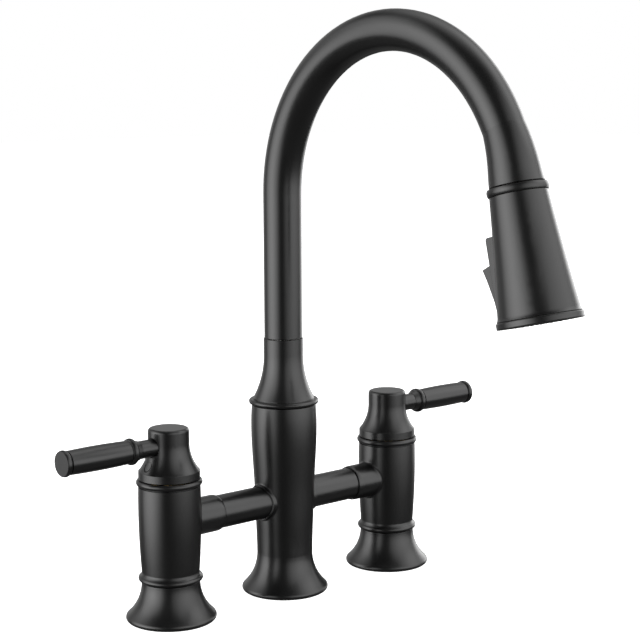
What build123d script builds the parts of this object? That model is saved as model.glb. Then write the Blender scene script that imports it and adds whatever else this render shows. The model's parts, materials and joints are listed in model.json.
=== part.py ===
from build123d import *
import os
from math import atan2, cos, pi, radians, sin, sqrt, tan

# Bridge kitchen faucet, millimetres. +Z is up, Z = 0 is the deck that it stands on, and the origin is
# on the axis of the centre post. The bridge runs along X, with the hot valve at -X and the cold valve
# at +X. At rest the spout reaches forward, along -Y, and both levers point outward.

# ---------------------------------------------------------------- driving dimensions
VALVE_SPACING = 203.2      # hot axis to cold axis, the 8 inch bridge pattern
VALVE_X = VALVE_SPACING / 2
RUNNING_GAP = 0.3          # between pieces that move past each other
SEAM = 0.7                 # open seam between two turned pieces
FIT = 0.05                 # radial clearance of a fixed piece in its seat
BUSH_FIT = 0.06            # radial clearance of a shaft that turns or slides in its bearing

# feet, the same flare on all three
FOOT_R = 31.1
TOE_WIDEST_Z = 2.2
TOE_TOP_Z = 3.9
TOE_DRAW_LOW = 1.45        # how far the toe is drawn in at the deck
TOE_DRAW_TOP = 0.65        # and at its top edge
WAIST_R = 20.0
WAIST_Z = 28.0
GASKET_OUTER_R = 27.5
GASKET_WIDTH = 6.5
GASKET_THICK = 2.0

# centre post
POST_LOW_R = 20.65
POST_LOW_Z = 50.0
POST_MID_R = 21.7
POST_MID_Z = 80.0
POST_BELLY_R = 23.55
POST_BELLY_Z = 118.0
POST_TOP_R = 22.9
POST_TOP_Z = 136.6
POST_TOP_LEAN = 0.1        # slope inward at the top
POST_SOCKET_R = 14.0       # thread for the shank that clamps the faucet to its deck
POST_SOCKET_DEPTH = 14.0
POST_SHOULDER = 1.5        # step from the socket out to the bore, and from the bore to the neck's seat

# neck
NECK_RING_R = 25.0
NECK_RING_DRAW = 1.5
NECK_RING_HEIGHT = 3.4
NECK_FLARE_R = 21.8
NECK_FLARE_STEP = 0.7
NECK_R = 14.05
NECK_FLARE_TOP_Z = 172.0
NECK_TOP_Z = 184.2
NECK_SPIGOT_LENGTH = 14.6
NECK_SPIGOT_TOP_STEP = 3.4 # from the post's top up to the end of the lower bushing's seat
ORING_R = 0.9              # cord radius of the O-rings in the post and on the cartridges
GROOVE_GAP = 0.1           # room under and beside an O-ring in its groove

# spout
TUBE_R = 13.5
TUBE_WALL = 1.5
ARC_START_Z = 286.95
ARC_R = 110.65
ARC_TURN = 165.9           # degrees
FLARE_TURN = 12.3          # last degrees of the arc, over which the outlet flares
FLARE_STEPS = 4
OUTLET_STRAIGHT = 11.0
OUTLET_R = 17.0
STEM_R = 10.8
STEM_WALL = 2.0
STEM_LOW_Z = 124.0
BUSH_WALL = 1.34
BUSH_UPPER_LENGTH = 8.0
BUSH_LOWER_LENGTH = 12.8
CLIP_THICK = 1.2
CLIP_DEPTH = 0.8
CLIP_RIM = 1.1
CLIP_OPENING = 70.0        # degrees left open in the clip
CLIP_RISE = 1.4            # from the stem's lower end to the clip

# hose, from the post up through the spout to the wand
HOSE_R = 6.2
HOSE_BORE_R = 3.4
HOSE_LOW_Z = 18.0
HOSE_TIGHTER = 0.6         # its arc is this much tighter, so that it rises against the tube's outer side
FERRULE_WALL = 1.4
FERRULE_LENGTH = 16.0
FERRULE_BASE = 2.0
NIPPLE_WALL = 0.9

# waterway in the post, where hot and cold meet
INSERT_TOP_Z = 110.0
INSERT_ROOM = 0.6          # round the hose's ferrule
CHAMBER_WALL = 3.3
CHAMBER_HEIGHT = 32.0
PASSAGE_R = 1.9
PASSAGE_WALL = 0.9
PASSAGE_COUNT = 6
INSERT_SEAL = 7.5          # from the chamber to the middle of each O-ring

# bridge
BRIDGE_Z = 67.7
BRIDGE_R = 11.6
BRIDGE_WALL = 3.2
BRIDGE_END_GAP = 1.0       # at both ends of each tube
LIP_WALL = 1.1             # lip round the tube where it enters the post
LIP_REACH = 2.2
LIP_BLEND = 1.0
LIP_MOUTH_GAP = 0.5
LIP_MOUTH_DEPTH = 1.2
COLLAR_REACH = 39.3        # from the valve's axis to the collar's face
COLLAR_WALL = 1.2
COLLAR_ROUND = 3.4         # length over which the collar's end is drawn in
COLLAR_DRAW = 0.55
COLLAR_BLEND = 1.8
COLLAR_SOCKET = 15.3
COLLAR_MOUTH_GAP = 0.6
COLLAR_MOUTH_DEPTH = 1.5
BRIDGE_SEAL_FIRST = 5.3    # from the collar's face to the first O-ring
BRIDGE_SEAL_PITCH = 5.0
WINDOW_R = 6.5             # passage from a cartridge to its bridge tube

# valve bodies
VALVE_LOW_Z = 27.8
VALVE_RING_R = 22.15
VALVE_RING_DRAW = 1.2
VALVE_RING_HEIGHT = 3.6
VALVE_COVE_HEIGHT = 2.6
VALVE_LOW_R = 19.8
VALVE_MID_R = 21.3
VALVE_MID_Z = 65.0
VALVE_TOP_R = 21.25
VALVE_TOP_Z = 94.4
VALVE_TOP_GROOVE = 0.9     # height of the shadow groove under the trim ring
VALVE_TOP_GROOVE_DEPTH = 1.2
SPIGOT_R = 15.0
SPIGOT_LOW_Z = 6.0
INLET_SOCKET_R = 10.3      # thread for a half inch supply shank
INLET_SOCKET_DEPTH = 18.0
INLET_PASSAGE_R = 5.5
CARTRIDGE_SEAT_Z = 52.0
TRIM_R = 22.65
TRIM_DRAW = 1.15
TRIM_HEIGHT = 3.9

# cartridges
CARTRIDGE_R = 13.95
CARTRIDGE_WALL = 3.2
CARTRIDGE_TOP_Z = 88.0
CARTRIDGE_ROOF = 4.0
CARTRIDGE_SEAL_DROP = 9.5  # from its top to its O-ring
SEAL_THICK = 2.4
SEAL_WIDTH = 3.0
DISC_THICK = 3.0
DISC_PORT_R = 2.8
DISC_PORT_OFFSET = 6.4
DISC_DRIVE_LENGTH = 15.0
DISC_DRIVE_WIDTH = 4.0
DISC_DRIVE_DEPTH = 1.4
STEM_SHAFT_R = 5.0
STEM_COLLAR_R = 8.6
STEM_COLLAR_THICK = 3.0
STEM_SHAFT_TOP_Z = 96.0
SPLINE_R = 4.0
SPLINE_TOP_Z = 112.5
NUT_ACROSS_FLATS = 27.0
NUT_HEAD = 6.1
NUT_BORE_R = 8.0

# handles: lever lengths run outward from the valve's axis
HUB_BAND_R = 21.0
HUB_BAND_TOP_Z = 104.2
HUB_STEP = 0.7
HUB_FLARE_TOP_Z = 123.0
HUB_R = 14.05
HUB_TOP_Z = 133.7
HUB_EDGE = 2.2
HUB_ROOM = 0.6             # round and above the nut's head
LEVER_Z = 121.6
SHANK_R = 6.1
SHANK_IN = 5.3
SHANK_END = 25.0
SHANK_RING_GAP = 0.6       # open ring round the shank where it enters the hub
SHANK_RING_DEPTH = 1.0
CONE_START_R = 6.3
CONE_END = 28.9
CONE_END_R = 7.5
BEAD_END = 33.6
BEAD_R = 9.1
BEAD_DRAW = 1.2
BEAD_GROOVE = 0.7
GROOVE_R = 7.5
GRIP_R = 7.9
GRIP_BELLY_R = 8.4
GRIP_BELLY_AT = 60.0
GRIP_TIP_R = 8.0
GRIP_END = 80.4
CAP_R = 8.85
CAP_FACE_R = 8.25
CAP_END = 84.9
CORE_R = 4.0
CORE_TAIL = 2.2            # from the core's end to the cap's face
SCREW_Z = 109.2
SCREW_R = 3.0
SCREW_LENGTH = 6.0
SCREW_KEY = 2.5
SCREW_KEY_DEPTH = 2.5
PLUG_RECESS = 0.1          # how far the plug over the screw lies inside the hub's flare
PLUG_LENGTH = 3.4
PLUG_RING_GAP = 0.5        # open ring round the plug's end
PLUG_RING_DEPTH = 1.2

# wand: lengths run down its own axis from its top face
WAND_GAP = 1.0
WAND_TOP_RING_R = 19.0
WAND_TOP_RING_DRAW = 0.6
WAND_TOP_RING_HEIGHT = 4.6
WAND_SEAM = 0.2
WAND_TOP_R = 17.8
WAND_LOW_R = 25.4
WAND_HOLLOW = 0.35         # how far the cone's side is drawn in at mid length
WAND_SHELL_END = 79.5
WAND_FLARE_START = 77.2    # from here the cone's end flares out to the rim
WAND_FLARE = 0.6
WAND_WALL = 2.2
RIM_R = 26.65
RIM_END = 84.0
RIM_ROUND = 1.1
RIM_TUCK = 1.1             # from the spray face in to the bore of the rim's spigot
RIM_SPIGOT = 3.3
INLET_R = 10.2
INLET_RISE = 5.5
INLET_END = 12.0
INLET_LIP_START = 0.3
INLET_LIP_THICK = 2.4
DOCK_WALL = 3.0
DOCK_LENGTH = 9.0
DOCK_SHOULDER = 0.6
DOCK_ROOM = 0.4            # between the docked spigot and the dock
MAGNET_WIDTH = 1.8
MAGNET_THICK = 3.0
MAGNET_WALL = 0.6
STRIKE_THICK = 1.5
CONNECTOR_RISE = 9.0
CONNECTOR_NECK_R = 5.2
CONNECTOR_FLANGE_R = 7.0
CONNECTOR_FLANGE_THICK = 4.0
CONNECTOR_BORE_R = 3.0

# inside the wand
WAND_CORE_R = 10.5
CHECK_VALVE_R = 5.5
CHECK_VALVE_BORE_R = 3.2
CHECK_VALVE_LENGTH = 10.0
WAND_PASSAGE_R = 3.4
SPOOL_R = 4.5
SPOOL_BORE_START = 38.0
SPOOL_BORE_END = 64.0
SPOOL_START = 40.0
SPOOL_LENGTH = 16.0
SPOOL_LAND = 3.0
SPOOL_GROOVE = 1.0
DIVERT_GROOVE_R = 9.0
DIVERT_GROOVE_DROP = 3.0
DIVERT_PASSAGE_R = 1.2
DIVERT_PASSAGE_COUNT = 6
PLATE_R = 21.0
PLATE_START = 72.0
PLATE_END = 76.0
FACE_THICK = 2.2
FACE_RECESS = 0.5          # the spray face lies this far inside the rim
MAT_THICK = 1.4
NOZZLE_R = 1.0
NOZZLE_BORE_R = 0.5
NOZZLE_PROUD = 0.3         # past the rim
NOZZLE_ROW_RADII = (10.0, 13.8, 17.6)
NOZZLE_ROW_COUNTS = (10, 14, 18)
AERATOR_R = 6.8
AERATOR_WALL = 1.2
AERATOR_GRID_R = 0.8
AERATOR_GRID_COUNT = 6     # holes in its inner ring; the outer ring has twice as many
AERATOR_GRID_PITCH = 2.3
AERATOR_GRID_THICK = 1.5

# controls on the back of the wand; depths run outward from the wand's axis
CONTROL_WIDTH = 18.0
CONTROL_START = 27.0
CONTROL_END = 76.2
CONTROL_INNER = 15.0
CONTROL_FACE_TOP = 24.8
CONTROL_FACE_LOW = 25.5
CONTROL_ROUND = 2.0
CONTROL_WALL = 1.6
CONTROL_DIVIDER = 1.2
CONTROL_DIVIDER_RISE = 3.2
BUTTON_END = 42.9
BUTTON_FACE = 25.6
BUTTON_ROUND = 1.4
BUTTON_TRAVEL = 1.5
BUTTON_ROOM = 1.7          # left under the pressed button
BUTTON_CROWN = 1.8         # left over the spring's pocket
TRIGGER_LIP = 43.5
TRIGGER_LIP_DEPTH = 25.6
TRIGGER_TIP = 45.6
TRIGGER_TIP_DEPTH = 33.3
TRIGGER_KNEE = 52.0
TRIGGER_KNEE_DEPTH = 31.2
TRIGGER_HOLLOW = 66.4
TRIGGER_HOLLOW_DEPTH = 27.7
TRIGGER_TAIL = 72.4
TRIGGER_TAIL_DEPTH = 27.1
TRIGGER_INNER = 21.5
TRIGGER_PIN_AT = 70.6
TRIGGER_PIN_DEPTH = 22.8
TRIGGER_PIN_R = 1.0
TRIGGER_PIN_BOSS = 1.3
TRIGGER_SPRING_AT = 52.0
TRIGGER_POCKET = 3.0
SPRING_R = 2.4
SPRING_WALL = 0.8

CUT_PAST = 1.0             # how far a groove's cutter reaches past the surface

LOW = (Align.CENTER, Align.CENTER, Align.MIN)


# ---------------------------------------------------------------- shapes used throughout
def turned(outside, *inside):
    """Body of revolution about Z. The curves of outside run from its bottom to its top as (radius, z),
    and inside lists the corners back down to the start."""
    edges = [edge for curve in outside for edge in curve.edges()]
    start = outside[0] @ 0
    end = outside[-1] @ 1
    edges += Polyline(end, *inside, start).edges()
    return revolve(Plane.XZ * make_face(edges), Axis.Z)


def upright_middle(upright, other):
    """Middle point of the arc from other to upright that stands vertical at upright."""
    out = abs(other[0] - upright[0])
    height = abs(other[1] - upright[1])
    arc_radius = (out * out + height * height) / (2 * out)
    half_turn = atan2(height, arc_radius - out) / 2
    side = 1 if other[0] > upright[0] else -1
    level = 1 if other[1] > upright[1] else -1
    x = upright[0] + side * arc_radius * (1 - cos(half_turn))
    return x, upright[1] + level * arc_radius * sin(half_turn)


def arc_to_vertical(start, end):
    return ThreePointArc(start, upright_middle(end, start), end)


def arc_from_vertical(start, end):
    return ThreePointArc(start, upright_middle(start, end), end)


def bead(low_r, widest_r, high_r, low, high):
    """Outline of a rounded band, widest half way up."""
    return ThreePointArc((low_r, low), (widest_r, (low + high) / 2), (high_r, high))


def rod(radius, low, high):
    return Pos(0, 0, low) * Cylinder(radius, high - low, align=LOW)


def ring(outer_r, inner_r, low, high):
    return rod(outer_r, low, high) - rod(inner_r, low, high)


def groove(surface_r, cord_r, z):
    """Cutter for the groove of an O-ring that lies in a cylinder's outside, at height z."""
    half = cord_r + GROOVE_GAP
    return ring(surface_r + half, surface_r - 2 * half, z - half, z + half)


def oring(surface_r, cord_r, z):
    return Pos(0, 0, z) * Torus(surface_r - cord_r, cord_r)


def hex_rod(across_flats, low, high):
    return Pos(0, 0, low) * extrude(RegularPolygon(across_flats / 2, 6, major_radius=False), high - low)


def corner_r(across_flats):
    return across_flats / 2 / cos(pi / 6)


def outward(body, z=0):
    """Lays a body that was built up along +Z down along +X, at height z."""
    return Pos(0, 0, z) * (Rot(0, 90, 0) * body)


def inward(body, z=0):
    """Lays a body that was built up along +Z down along -X, at height z."""
    return Pos(0, 0, z) * (Rot(0, -90, 0) * body)


def blended(barrel, boss, blend_r):
    """Joins a boss to a barrel and rounds the corner between them."""
    joined = barrel + boss
    return fillet(new_edges(barrel, boss, combined=joined), blend_r)


def group(bodies):
    """Several separate solids in one node."""
    return Compound([solid for body in bodies for solid in body.solids()])


def around(count, radius):
    """Centres of count copies, evenly spaced on a circle."""
    return [(radius * cos(2 * pi * k / count), radius * sin(2 * pi * k / count)) for k in range(count)]


# ---------------------------------------------------------------- feet
def toe_top():
    return FOOT_R - TOE_DRAW_TOP, TOE_TOP_Z


def toe():
    return ThreePointArc((FOOT_R - TOE_DRAW_LOW, 0), (FOOT_R, TOE_WIDEST_Z), toe_top())


def foot_gasket(gap=0):
    return ring(GASKET_OUTER_R + gap, GASKET_OUTER_R - GASKET_WIDTH - gap, 0, GASKET_THICK)


# ---------------------------------------------------------------- centre post and neck
def post_bore_r():
    return POST_SOCKET_R + POST_SHOULDER


def neck_seat_r():
    return post_bore_r() + POST_SHOULDER


def neck_low_z():
    """Lower end of the neck's spigot, on its seat in the post."""
    return POST_TOP_Z - NECK_SPIGOT_LENGTH


def center_post():
    side = Spline(
        (WAIST_R, WAIST_Z),
        (POST_LOW_R, POST_LOW_Z),
        (POST_MID_R, POST_MID_Z),
        (POST_BELLY_R, POST_BELLY_Z),
        (POST_TOP_R, POST_TOP_Z),
        tangents=[(0, 1), (-POST_TOP_LEAN, 1)],
    )
    flare = arc_to_vertical(toe_top(), (WAIST_R, WAIST_Z))
    barrel = turned([toe(), flare, side], (0, POST_TOP_Z), (0, 0))
    lip = outward(Cylinder(BRIDGE_R + LIP_WALL, 2 * FOOT_R), BRIDGE_Z)
    reach = POST_MID_R + LIP_REACH
    lip &= rod(reach, BRIDGE_Z - reach, BRIDGE_Z + reach)
    body = blended(barrel, lip, LIP_BLEND)
    body -= foot_gasket(FIT)
    body -= rod(POST_SOCKET_R, 0, POST_SOCKET_DEPTH)
    body -= rod(post_bore_r(), POST_SOCKET_DEPTH, POST_TOP_Z)
    body -= rod(neck_seat_r(), neck_low_z(), POST_TOP_Z)
    body -= outward(Cylinder(BRIDGE_R + FIT, 3 * POST_BELLY_R), BRIDGE_Z)
    mouth = rod(BRIDGE_R + LIP_MOUTH_GAP, reach - LIP_MOUTH_DEPTH, reach)
    return body - outward(mouth, BRIDGE_Z) - inward(mouth, BRIDGE_Z)


def waterway_bore_r():
    return HOSE_R + FERRULE_WALL + INSERT_ROOM


def insert_seal_levels():
    drop = CHAMBER_HEIGHT / 2 + INSERT_SEAL
    return BRIDGE_Z - drop, BRIDGE_Z + drop


def waterway_insert():
    outer_r = post_bore_r() - FIT
    bore_r = waterway_bore_r()
    chamber_low = BRIDGE_Z - CHAMBER_HEIGHT / 2
    body = ring(outer_r, bore_r, POST_SOCKET_DEPTH, INSERT_TOP_Z)
    body -= ring(outer_r + CUT_PAST, bore_r + CHAMBER_WALL, chamber_low, chamber_low + CHAMBER_HEIGHT)
    for x, y in around(PASSAGE_COUNT, bore_r + PASSAGE_WALL + PASSAGE_R):
        body -= Pos(x, y, 0) * rod(PASSAGE_R, POST_SOCKET_DEPTH, chamber_low + PASSAGE_R)
    for z in insert_seal_levels():
        body -= groove(outer_r, ORING_R, z)
    return body


def neck_seal_z():
    return neck_low_z() + NECK_SPIGOT_LENGTH / 2


def post_orings():
    rings = [oring(post_bore_r() - FIT, ORING_R, z) for z in insert_seal_levels()]
    rings.append(oring(neck_seat_r() - FIT, ORING_R, neck_seal_z()))
    return group(rings)


def bushing_r():
    return STEM_R + BUSH_FIT + BUSH_WALL


def lower_bushing_top_z():
    return POST_TOP_Z + NECK_SPIGOT_TOP_STEP


def neck():
    seat = POST_TOP_Z + SEAM
    ring_top = seat + NECK_RING_HEIGHT
    shoulder_r = NECK_RING_R - NECK_RING_DRAW
    flare_foot = (NECK_FLARE_R, ring_top + NECK_FLARE_STEP)
    outline = [
        bead(shoulder_r, NECK_RING_R, shoulder_r, seat, ring_top),
        Polyline((shoulder_r, ring_top), (NECK_FLARE_R, ring_top), flare_foot),
        arc_to_vertical(flare_foot, (NECK_R, NECK_FLARE_TOP_Z)),
        Line((NECK_R, NECK_FLARE_TOP_Z), (NECK_R, NECK_TOP_Z)),
    ]
    body = turned(outline, (0, NECK_TOP_Z), (0, seat))
    spigot_r = neck_seat_r() - FIT
    body += rod(spigot_r, neck_low_z(), seat)
    body -= rod(bushing_r() + FIT, neck_low_z(), lower_bushing_top_z())
    body -= rod(STEM_R + 2 * RUNNING_GAP, neck_low_z(), NECK_TOP_Z)
    body -= rod(bushing_r() + FIT, NECK_TOP_Z - BUSH_UPPER_LENGTH, NECK_TOP_Z)
    body -= groove(spigot_r, ORING_R, neck_seal_z())
    return body


def spout_bushings():
    """Two plastic bushings in the neck that the spout's stem turns in."""
    inner_r = STEM_R + BUSH_FIT
    low_top = lower_bushing_top_z()
    lower = ring(bushing_r(), inner_r, low_top - BUSH_LOWER_LENGTH, low_top)
    upper = ring(bushing_r(), inner_r, NECK_TOP_Z - BUSH_UPPER_LENGTH, NECK_TOP_Z)
    return group([lower, upper])


# ---------------------------------------------------------------- spout, laid out in the plane X = 0
def arc_plane(angle, arc_r=ARC_R, start_z=ARC_START_Z):
    """Plane square to a centre line that bends forward, angle degrees round its arc."""
    a = radians(angle)
    centre = (0, -arc_r * (1 - cos(a)), start_z + arc_r * sin(a))
    return Plane(origin=centre, x_dir=(1, 0, 0), z_dir=(0, -sin(a), cos(a)))


def outlet_plane(distance):
    """Plane square to the outlet's axis, this far past the end of the spout's arc."""
    end = arc_plane(ARC_TURN)
    return Plane(origin=end.origin + end.z_dir * distance, x_dir=(1, 0, 0), z_dir=end.z_dir)


def bent_rod(radius, turn, arc_r=ARC_R, start_z=ARC_START_Z):
    """Round bar bent forward through turn degrees from (0, 0, start_z)."""
    path = ThreePointArc(
        arc_plane(0, arc_r, start_z).origin,
        arc_plane(turn / 2, arc_r, start_z).origin,
        arc_plane(turn, arc_r, start_z).origin,
    )
    return sweep(arc_plane(0, arc_r, start_z) * Circle(radius), path=path)


def flared_end(start_r, end_r):
    """Solid end of the spout, whose radius grows evenly over the last of the arc to the outlet."""
    arc_length = radians(FLARE_TURN) * ARC_R
    growth = (end_r - start_r) / (arc_length + OUTLET_STRAIGHT)
    sections = []
    for step in range(FLARE_STEPS + 1):
        share = step / FLARE_STEPS
        section_r = start_r + growth * arc_length * share
        sections.append(arc_plane(ARC_TURN - FLARE_TURN * (1 - share)) * Circle(section_r))
    sections.append(outlet_plane(OUTLET_STRAIGHT) * Circle(end_r))
    return loft(sections)


def dock_r():
    return INLET_R + DOCK_ROOM + DOCK_WALL


def spout_tube():
    seat = NECK_TOP_Z + SEAM
    bore_r = TUBE_R - TUBE_WALL
    stem_bore_r = STEM_R - STEM_WALL
    floor = seat + 2 * TUBE_WALL
    turn = ARC_TURN - FLARE_TURN
    body = rod(TUBE_R, seat, ARC_START_Z) + bent_rod(TUBE_R, turn) + flared_end(TUBE_R, OUTLET_R)
    body += rod(STEM_R, STEM_LOW_Z, seat)
    inside = rod(bore_r, floor, ARC_START_Z) + bent_rod(bore_r, turn)
    inside += flared_end(bore_r, dock_r() - DOCK_SHOULDER)
    body -= inside
    body -= rod(stem_bore_r, STEM_LOW_Z, floor)
    body -= outlet_plane(OUTLET_STRAIGHT - DOCK_LENGTH) * rod(dock_r() + FIT, 0, DOCK_LENGTH)
    body -= clip_ring(STEM_R + CLIP_RIM, 0)
    return body


def clip_ring(outer_r, gap):
    low = STEM_LOW_Z + CLIP_RISE
    return ring(outer_r, STEM_R - CLIP_DEPTH + gap, low + gap, low + CLIP_THICK - gap)


def spout_clip():
    """Open ring that keeps the stem from lifting out of the neck."""
    reach = 2 * STEM_R
    half_width = reach * tan(radians(CLIP_OPENING / 2))
    wedge = make_face(Polyline((0, 0), (reach, -half_width), (reach, half_width), close=True))
    opening = Pos(0, 0, STEM_LOW_Z) * extrude(wedge, CLIP_RISE + 2 * CLIP_THICK)
    return clip_ring(STEM_R + CLIP_RIM, FIT) - opening


# ---------------------------------------------------------------- hose
def hose_arc_r():
    return ARC_R - HOSE_TIGHTER


def hose_shift():
    """How much longer the hose's straight ends are than the spout's, for its tighter arc."""
    return HOSE_TIGHTER * tan(radians(ARC_TURN / 2))


def hose():
    arc_start = ARC_START_Z + hose_shift()
    body = rod(HOSE_R, HOSE_LOW_Z, arc_start) + bent_rod(HOSE_R, ARC_TURN, hose_arc_r(), arc_start)
    bore = rod(HOSE_BORE_R, HOSE_LOW_Z, arc_start)
    bore += bent_rod(HOSE_BORE_R, ARC_TURN, hose_arc_r(), arc_start)
    tube = body - bore
    length = arc_start - HOSE_LOW_Z + radians(ARC_TURN) * hose_arc_r()
    section = pi * (HOSE_R**2 - HOSE_BORE_R**2)
    print(f"hose: arc radius {hose_arc_r():.1f} mm, length {length:.1f} mm")
    print(f"hose: volume {tube.volume:.0f} mm3, section times length {section * length:.0f} mm3")
    return tube


def hose_tail_ferrule():
    """Crimped sleeve on the hose's lower end, with the barb inside the hose."""
    low = HOSE_LOW_Z
    sleeve = ring(HOSE_R + FERRULE_WALL, HOSE_R + FIT, low, low + FERRULE_LENGTH)
    base = ring(HOSE_R + FERRULE_WALL, HOSE_BORE_R - FIT - NIPPLE_WALL, low - FERRULE_BASE, low)
    barb = ring(HOSE_BORE_R - FIT, HOSE_BORE_R - FIT - NIPPLE_WALL, low, low + FERRULE_LENGTH)
    return base + sleeve + barb


def outlet_hose():
    """Straight end of the hose, from its arc to the wand's connector."""
    length = hose_shift() + OUTLET_STRAIGHT + WAND_GAP - CONNECTOR_RISE
    return outlet_plane(-hose_shift()) * ring(HOSE_R, HOSE_BORE_R, 0, length)


# ---------------------------------------------------------------- wand, built down its own +Z axis
def on_wand(body):
    return outlet_plane(OUTLET_STRAIGHT + WAND_GAP) * body


def dock_magnet_span():
    """Inner and outer radius of the dock's magnet and of the ring that it holds."""
    middle = INLET_R + DOCK_ROOM + DOCK_WALL / 2
    return middle - MAGNET_WIDTH / 2, middle + MAGNET_WIDTH / 2


def dock_magnet(gap=0):
    inner_r, outer_r = dock_magnet_span()
    high = -WAND_GAP - MAGNET_WALL
    return on_wand(ring(outer_r + gap, inner_r - gap, high - MAGNET_THICK - gap, high))


def dock_sleeve():
    """Liner of the outlet; its magnet lies in a pocket that opens upward."""
    inner_r, outer_r = dock_magnet_span()
    high = -WAND_GAP
    body = ring(dock_r(), INLET_R + DOCK_ROOM, high - DOCK_LENGTH, high)
    body -= ring(outer_r + FIT, inner_r - FIT, high - DOCK_LENGTH, high - MAGNET_WALL)
    return on_wand(body)


def flange_start():
    return INLET_LIP_START + INLET_LIP_THICK + RUNNING_GAP


def hose_connector():
    """Crimped ferrule with the flange that the wand turns on."""
    flange_end = flange_start() + CONNECTOR_FLANGE_THICK
    body = rod(HOSE_R + FERRULE_WALL - RUNNING_GAP, -CONNECTOR_RISE, 0)
    body += rod(CONNECTOR_NECK_R, 0, flange_end)
    body += rod(CONNECTOR_FLANGE_R, flange_start(), flange_end)
    return on_wand(body - rod(CONNECTOR_BORE_R, -CONNECTOR_RISE, flange_end))


def wand_inlet():
    """Spigot that docks in the spout, with the lip that holds the connector's flange."""
    lip_end = INLET_LIP_START + INLET_LIP_THICK
    body = rod(INLET_R, -INLET_RISE, INLET_END)
    body -= rod(HOSE_R + FERRULE_WALL, -INLET_RISE, INLET_LIP_START)
    body -= rod(CONNECTOR_NECK_R + RUNNING_GAP, INLET_LIP_START, lip_end)
    body -= rod(CONNECTOR_FLANGE_R + RUNNING_GAP, lip_end, INLET_END)
    return on_wand(body)


def wand_top_ring():
    inner_r, outer_r = dock_magnet_span()
    shoulder_r = WAND_TOP_RING_R - WAND_TOP_RING_DRAW
    outline = bead(shoulder_r, WAND_TOP_RING_R, shoulder_r, 0, WAND_TOP_RING_HEIGHT)
    body = turned([outline], (0, WAND_TOP_RING_HEIGHT), (0, 0))
    body -= rod(INLET_R + FIT, 0, WAND_TOP_RING_HEIGHT)
    body -= ring(outer_r + FIT, inner_r - FIT, 0, STRIKE_THICK)
    return on_wand(body)


def wand_strike_ring():
    inner_r, outer_r = dock_magnet_span()
    return on_wand(ring(outer_r, inner_r, 0, STRIKE_THICK))


def wand_r(w):
    """Radius of the wand's cone at w; its side is drawn in a little at mid length."""
    first = WAND_TOP_RING_HEIGHT + WAND_SEAM
    share = (w - first) / (WAND_SHELL_END - first)
    straight = WAND_TOP_R + (WAND_LOW_R - WAND_TOP_R) * share
    return straight - 4 * WAND_HOLLOW * share * (1 - share)


def wand_side(inset, start, end):
    """Side of the wand's cone from start to end, moved in by inset."""
    return Spline([(wand_r(w) - inset, w) for w in (start, (start + end) / 2, end)])


def back_block(width, corners):
    """Block across the wand's back; corners are (length down the wand, depth out from its axis)."""
    outline = Polyline(*[(-depth, w) for w, depth in corners], close=True)
    return extrude(Plane.YZ * make_face(outline), width / 2, both=True)


def control_corners(gap):
    return (
        (CONTROL_START - gap, CONTROL_INNER - gap),
        (CONTROL_START - gap, TRIGGER_TIP_DEPTH),
        (CONTROL_END + gap, TRIGGER_TIP_DEPTH),
        (CONTROL_END + gap, CONTROL_INNER - gap),
    )


def control_opening(gap):
    """Cutter for the opening that the controls' frame fills."""
    return back_block(CONTROL_WIDTH + 2 * gap, control_corners(gap))


def wand_shell():
    """Cone with a roof round the inlet, open at the back for the controls."""
    start = WAND_TOP_RING_HEIGHT + WAND_SEAM
    under_roof = start + WAND_WALL
    side = wand_side(0, start, WAND_FLARE_START)
    flare_end = (WAND_LOW_R + WAND_FLARE, WAND_SHELL_END)
    outline = [
        side,
        TangentArc(side @ 1, flare_end, tangent=side % 1),
        Line(flare_end, (WAND_LOW_R - WAND_WALL, WAND_SHELL_END)),
        wand_side(WAND_WALL, WAND_SHELL_END, under_roof),
    ]
    body = turned(outline, (INLET_R + FIT, under_roof), (INLET_R + FIT, start))
    return on_wand(body - control_opening(FIT))


def face_start():
    return RIM_END - FACE_RECESS - FACE_THICK


def rim_spigot_r():
    return WAND_LOW_R - WAND_WALL - 2 * FIT


def wand_rim():
    """Band round the spray face, with a spigot up into the shell."""
    start = WAND_SHELL_END + WAND_SEAM
    outline = [
        Line((rim_spigot_r(), start), (RIM_R - RIM_ROUND, start)),
        arc_to_vertical((RIM_R - RIM_ROUND, start), (RIM_R, start + RIM_ROUND)),
        Line((RIM_R, start + RIM_ROUND), (RIM_R, RIM_END - RIM_ROUND / 2)),
        arc_from_vertical((RIM_R, RIM_END - RIM_ROUND / 2), (RIM_R - RIM_ROUND / 2, RIM_END)),
    ]
    inner_r = rim_spigot_r() - RIM_TUCK
    body = turned(outline, (0, RIM_END), (0, start))
    body += rod(wand_r(start - RIM_SPIGOT) - WAND_WALL - FIT, start - RIM_SPIGOT, start)
    body -= rod(inner_r, start - RIM_SPIGOT, RIM_END)
    body -= rod(rim_spigot_r() + FIT, face_start(), RIM_END)
    return on_wand(body)


def nozzle_places():
    rows = zip(NOZZLE_ROW_RADII, NOZZLE_ROW_COUNTS)
    return [place for row_r, count in rows for place in around(count, row_r)]


def spray_face():
    body = ring(rim_spigot_r(), AERATOR_R + FIT, face_start(), face_start() + FACE_THICK)
    for x, y in nozzle_places():
        body -= Pos(x, y, 0) * rod(NOZZLE_R + FIT, face_start(), RIM_END)
    return on_wand(body)


def nozzle_mat():
    """Rubber mat behind the spray face, whose nozzles stand out through it."""
    start = face_start() - MAT_THICK
    body = ring(rim_spigot_r() - RIM_TUCK - FIT, AERATOR_R + FIT, start, face_start())
    for x, y in nozzle_places():
        body += Pos(x, y, 0) * rod(NOZZLE_R, start, RIM_END + NOZZLE_PROUD)
    for x, y in nozzle_places():
        body -= Pos(x, y, 0) * rod(NOZZLE_BORE_R, start, RIM_END + NOZZLE_PROUD)
    return on_wand(body)


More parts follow.
